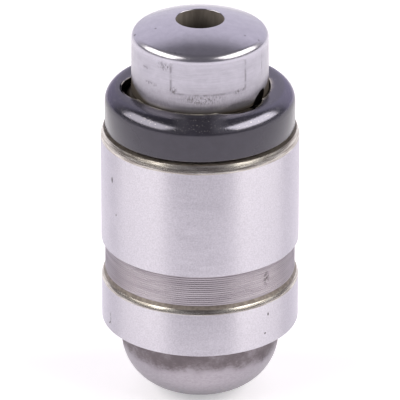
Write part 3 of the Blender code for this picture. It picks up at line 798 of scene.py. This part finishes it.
# the cap's section at one azimuth, round its wall, as (radius, height, share of bare steel and painted
# edge highlight)
def capSection(azimuth):
    s = capSize
    top, bottom, e = s["top"], s["bottom"], s["edge"]
    hole, nearSide = holeReach(azimuth)
    ragged = sum(noise.noise(facing(azimuth) * scale) * 0.5 for scale in s["noiseScales"])
    burr = s["burr"] * nearSide * (s["burrLevel"] + s["burrRise"] * ragged)
    hole += s["waver"] * ragged * nearSide
    flatEnd = s["radius"] - s["corner"]
    centre = (flatEnd, top - s["corner"])
    mouth = [(hole, top - 2.5 * e, 0.0), (hole, top - e, 1.0),
             (hole + 0.3 * e, top - 0.3 * e + burr, 1.0), (hole + e, top + 0.6 * burr, 1.0),
             (hole + 2.5 * e, top, 0.3)]
    flat = [(hole + (flatEnd - hole) * share, top, 0.0) for share in (0.5, 0.75)]
    outer = [(x, z, 0.0) for x, z, _ in arcPoints(centre, s["corner"], 90, 0, 16, 0)]
    skirt = [(s["radius"], bottom + e, 0.0), (s["radius"] - 0.3 * e, bottom + 0.3 * e, 0.6),
             (s["radius"] - e, bottom, 0.3), (s["crimp"] + e, bottom, 0.0),
             (s["crimp"], bottom + e, 0.0), (s["crimp"], s["crimpTop"], 0.0),
             (s["radius"] - s["sheet"], s["crimpTop"] + s["crimpLead"], 0.0)]
    inner = [(x, z, 0.0) for x, z, _ in arcPoints(centre, s["corner"] - s["sheet"], 0, 90, 8, 0)]
    return mouth + flat + outer + skirt + inner + [(hole, top - s["sheet"], 0.0)]


def buildCap():
    bm = bmesh.new()
    wearAndHighlight = bm.verts.layers.float.new("edgeWearAndHighlight")
    rows = []
    for azimuth in capAzimuths():
        row = []
        for radius, height, amount in capSection(azimuth):
            vert = bm.verts.new(facing(azimuth) * (radius * mm) + Vector((0, 0, height * mm)))
            vert[wearAndHighlight] = amount
            row.append(vert)
        rows.append(row)
    for i, row in enumerate(rows):
        following = rows[(i + 1) % len(rows)]
        for k in range(len(row)):
            n = (k + 1) % len(row)
            bm.faces.new((row[k], following[k], following[n], row[n]))
    bmesh.ops.recalc_face_normals(bm, faces=bm.faces)
    return finishMesh("capSkin", bm, [oxideBlack], 32)


cap = buildCap()
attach(cap, "cylinder")
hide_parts("retaining_cap")
print("cap ready,", len(cap.data.polygons), "faces")


# plunger head

headSize = {
    "radius": 5.86, "topRadius": 5.83, "corner": 0.75, "cornerHeight": 33.32, "dome": 13.2,
    "topLand": 1.2, "hole": 2.06, "mouth": 0.07, "footHeight": 28.12, "neck": 5.50,
    "neckHeight": 27.95, "footBlend": 0.10, "neckBlend": 0.08,
    "shoulder": 27.79, "shoulderRadius": 6.00, "shoulderFillet": 0.05, "shoulderTaper": 0.55,
    "plunger": 6.41, "taperFillet": 0.1, "bottom": 19.86, "bottomFillet": 0.3,
    "reservoir": 4.20, "mouthFillet": 0.1, "roof": 30.12, "roofFillet": 1.0,
}
polished, drilled = range(2)


def headOutline():
    s = {key: value * mm for key, value in headSize.items()}
    domeZ = s["cornerHeight"] - math.sqrt(s["dome"] ** 2 - s["topRadius"] ** 2)
    cornerX = s["topRadius"] - s["corner"]
    cornerZ = domeZ + math.sqrt((s["dome"] - s["corner"]) ** 2 - cornerX ** 2)
    blendDeg = math.degrees(math.atan2(cornerZ - domeZ, cornerX))
    mouthX = s["hole"] + s["mouth"]
    mouthDeg = math.degrees(math.acos(mouthX / s["dome"]))
    mouthTop = domeZ + s["dome"] * math.sin(math.radians(mouthDeg))
    mouth = arcPoints((mouthX, mouthTop - s["mouth"]), s["mouth"], 180, 100, 6, polished)
    dome = arcPoints((0, domeZ), s["dome"], mouthDeg, blendDeg, 24, polished)
    corner = arcPoints((cornerX, cornerZ), s["corner"], blendDeg, 0, 20, polished)
    below = roundCorners([
        (s["topRadius"], s["cornerHeight"] - s["topLand"], 0, polished),
        (s["radius"], s["footHeight"], s["footBlend"], polished),
        (s["neck"], s["neckHeight"], s["neckBlend"], polished),
        (s["neck"], s["shoulder"], s["shoulderFillet"], polished),
        (s["shoulderRadius"], s["shoulder"], s["shoulderFillet"], polished),
        (s["plunger"], s["shoulder"] - s["shoulderTaper"], s["taperFillet"], polished),
        (s["plunger"], s["bottom"], s["bottomFillet"], drilled),
        (s["reservoir"], s["bottom"], s["mouthFillet"], drilled),
        (s["reservoir"], s["roof"], s["roofFillet"], drilled),
        (s["hole"], s["roof"], s["mouthFillet"], drilled),
        (s["hole"], mouthTop - 1.5 * s["mouth"], 0, drilled),
    ])
    return mouth + dome + corner[1:] + below


head = turnedPiece("headSkin", headOutline(), [steelPolished, steelDrilled], closed=True)
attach(head, "plunger")
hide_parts("plunger_head")
print("head ready")


# valve pieces inside, smooth copies of their solids

for node, name, material, body, slot in [
        ("lower_plunger", "lowerPlungerSkin", steelLapped, "plunger", "lapped_steel"),
        ("ball_retainer", "ballCageSkin", steelStamped, "plunger", "stamped_steel"),
        ("check_ball", "checkBallSkin", steelBall, "valve_ball", "bearing_steel")]:
    piece = smoothCopy(node, name, material)
    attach(piece, body)
    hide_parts(node)
print("valve pieces ready")


# coil springs, wound by one node tree

springSize = {
    "plungerSpring": {"Radius": 4.10, "Wire": 0.80, "Turns": 5.0, "Bottom": 4.97, "Top": 12.76},
    "ballSpring": {"Radius": 1.00, "Wire": 0.20, "Turns": 3.0, "Bottom": 9.16, "Top": 10.41},
}
endTurns, endPitch = 0.75, 1.06   # closed turns at each end, and their pitch in wires
turnSteps, wireSides = 40.0, 14


def springTree():
    names = ("Radius", "Wire", "Turns", "Bottom", "Top")
    tree, given = geometryTree("coilSpring", {**dict.fromkeys(names, "Float"),
                                              "Material": "Material"})
    path = output(tree, "GeometryNodeResampleCurve",
                  {"Curve": output(tree, "GeometryNodeCurvePrimitiveLine"),
                   "Count": multiplied(tree, given["Turns"], turnSteps)})
    along = addNode(tree, "GeometryNodeSplineParameter").outputs["Factor"]
    turn = multiplied(tree, along, given["Turns"])
    closedRise = multiplied(tree, given["Wire"], endTurns * endPitch)
    length = maths(tree, 'SUBTRACT', given["Top"], given["Bottom"])
    span = maths(tree, 'SUBTRACT', length, given["Wire"])
    openRise = maths(tree, 'SUBTRACT', span, multiplied(tree, closedRise, 2.0))
    lastTurn = maths(tree, 'SUBTRACT', given["Turns"], endTurns)
    firstPart = ranged(tree, turn, (0.0, endTurns), (0.0, closedRise))
    openPart = ranged(tree, turn, (endTurns, lastTurn), (0.0, openRise))
    lastPart = ranged(tree, turn, (lastTurn, given["Turns"]), (0.0, closedRise))
    start = maths(tree, 'ADD', given["Bottom"], multiplied(tree, given["Wire"], 0.5))
    height = maths(tree, 'ADD', maths(tree, 'ADD', start, firstPart),
                   maths(tree, 'ADD', openPart, lastPart))
    angle = multiplied(tree, turn, math.tau)
    place = output(tree, "ShaderNodeCombineXYZ", {
        "X": multiplied(tree, maths(tree, 'COSINE', angle), given["Radius"]),
        "Y": multiplied(tree, maths(tree, 'SINE', angle), given["Radius"]), "Z": height})
    coil = output(tree, "GeometryNodeSetPosition", {"Geometry": path, "Position": place})
    wire = sweptRod(tree, coil, multiplied(tree, given["Wire"], 0.5), wireSides, caps=True)
    real = output(tree, "GeometryNodeRealizeInstances", {"Geometry": wire})
    return finishTree(tree, real, given["Material"])


coilTree = springTree()
for name, sizes in springSize.items():
    values = {key: value if key == "Turns" else value * mm for key, value in sizes.items()}
    values["Material"] = steelWire
    spring = nodesPiece(name, coilTree, values)
    spring.data.shade_smooth()
    if name == "plungerSpring":
        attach(spring, "cylinder")
        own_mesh(spring)
        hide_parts("plunger_spring")
    else:
        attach(spring, "plunger")
        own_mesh(spring)
        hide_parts("ball_spring")
print("springs ready")


# studio

studio = {
    "floorSize": 3.0, "floorColour": "#f3f0f7", "floorRoughness": 0.9, "floorGlow": 0.38,
    "skyColour": "#f4f0fc", "boxColour": "#fffdf3",
    # side soft boxes: azimuth and elevation of the middle, distance, width, height and power
    "boxes": [("softLeft", -75, 36, 0.60, 0.68, 0.36, 2.85),
              ("softRight", 76, 36, 0.60, 0.68, 0.36, 3.0)],
    # brightness of the sky, and how far back the dark room ends and the white sweep starts
    "skyBack": 0.97, "skyTop": 0.23, "skyFront": 0.18, "roomEnd": (-0.1, 0.35), "sweep": (0.46, 0.74),
}
view = {"distance": 430.0, "elevation": 25.4, "lookAt": 17.52, "frame": 34.38, "nearest": 0.01}


# 1 for the rays that show the white background: the camera's, and those that metal mirrors
def backdropRays(tree):
    path = addNode(tree, "ShaderNodeLightPath").outputs
    return joinMasks(tree, [path["Is Camera Ray"], path["Is Glossy Ray"], path["Is Transmission Ray"]])


def makeFloor():
    bm = bmesh.new()
    bmesh.ops.create_grid(bm, x_segments=1, y_segments=1, size=studio["floorSize"] / 2)
    material, tree = newMaterial("paperSweep")
    shadeWith(tree, {
        "Base Color": hexColour(studio["floorColour"]), "Roughness": studio["floorRoughness"],
        "Specular IOR Level": 0.0, "Emission Color": (1, 1, 1, 1),
        "Emission Strength": multiplied(tree, backdropRays(tree), studio["floorGlow"])})
    floor = finishMesh("floor", bm, [material])


def makeWorld():
    world = bpy.data.worlds.new("studioWorld")
    world.use_nodes = True
    tree = world.node_tree
    tree.nodes.clear()
    # brightness follows the direction: white sweep behind, grey ceiling, dark room in front
    way = addNode(tree, "ShaderNodeTexCoord").outputs["Generated"]
    back = addNode(tree, "ShaderNodeSeparateXYZ", {0: way}).outputs["Y"]
    lower = ranged(tree, back, studio["roomEnd"], (studio["skyFront"], studio["skyTop"]))
    upper = ranged(tree, back, studio["sweep"], (0.0, studio["skyBack"] - studio["skyTop"]))
    # the camera sees white all round; metal sees it only where the sweep stands, behind the part
    camera = addNode(tree, "ShaderNodeLightPath").outputs["Is Camera Ray"]
    mirrored = multiplied(tree, backdropRays(tree), ranged(tree, back, studio["sweep"]))
    light = output(tree, "ShaderNodeBackground", {
        "Color": blend(tree, camera, studio["skyColour"], (1, 1, 1, 1)),
        "Strength": blendValues(tree, joinMasks(tree, [camera, mirrored]),
                                maths(tree, 'ADD', lower, upper), 1.0)})
    addNode(tree, "ShaderNodeOutputWorld", {"Surface": light})
    bpy.context.scene.world = world


# direction from the part's middle to a lamp or the camera
def towards(azimuth, elevation):
    rise = math.radians(elevation)
    return facing(azimuth) * math.cos(rise) + Vector((0, 0, math.sin(rise)))


# a lamp or camera that stands this far from the part's middle and faces it; distance in metres
def lookAtPart(name, data, direction, distance):
    piece = bpy.data.objects.new(name, data)
    piece.location = Vector((0, 0, view["lookAt"] * mm)) + direction * distance
    piece.rotation_euler = direction.to_track_quat('Z', 'Y').to_euler()
    bpy.context.scene.collection.objects.link(piece)
    return piece


def makeLights():
    for name, azimuth, elevation, distance, width, height, power in studio["boxes"]:
        lamp = bpy.data.lights.new(name, 'AREA')
        lamp.shape = 'RECTANGLE'
        lamp.size = width
        lamp.size_y = height
        lamp.energy = power
        lamp.color = hexColour(studio["boxColour"])[:3]
        lookAtPart(name, lamp, towards(azimuth, elevation), distance)


def makeCamera():
    lens = bpy.data.cameras.new("camera")
    lens.angle = 2 * math.atan(view["frame"] / 2 / view["distance"])
    lens.clip_start = view["nearest"]
    bpy.context.scene.camera = lookAtPart("camera", lens, towards(0, view["elevation"]),
                                          view["distance"] * mm)


makeFloor()
makeWorld()
makeLights()
makeCamera()
bpy.context.scene.view_settings.view_transform = 'Standard'
print("studio ready")
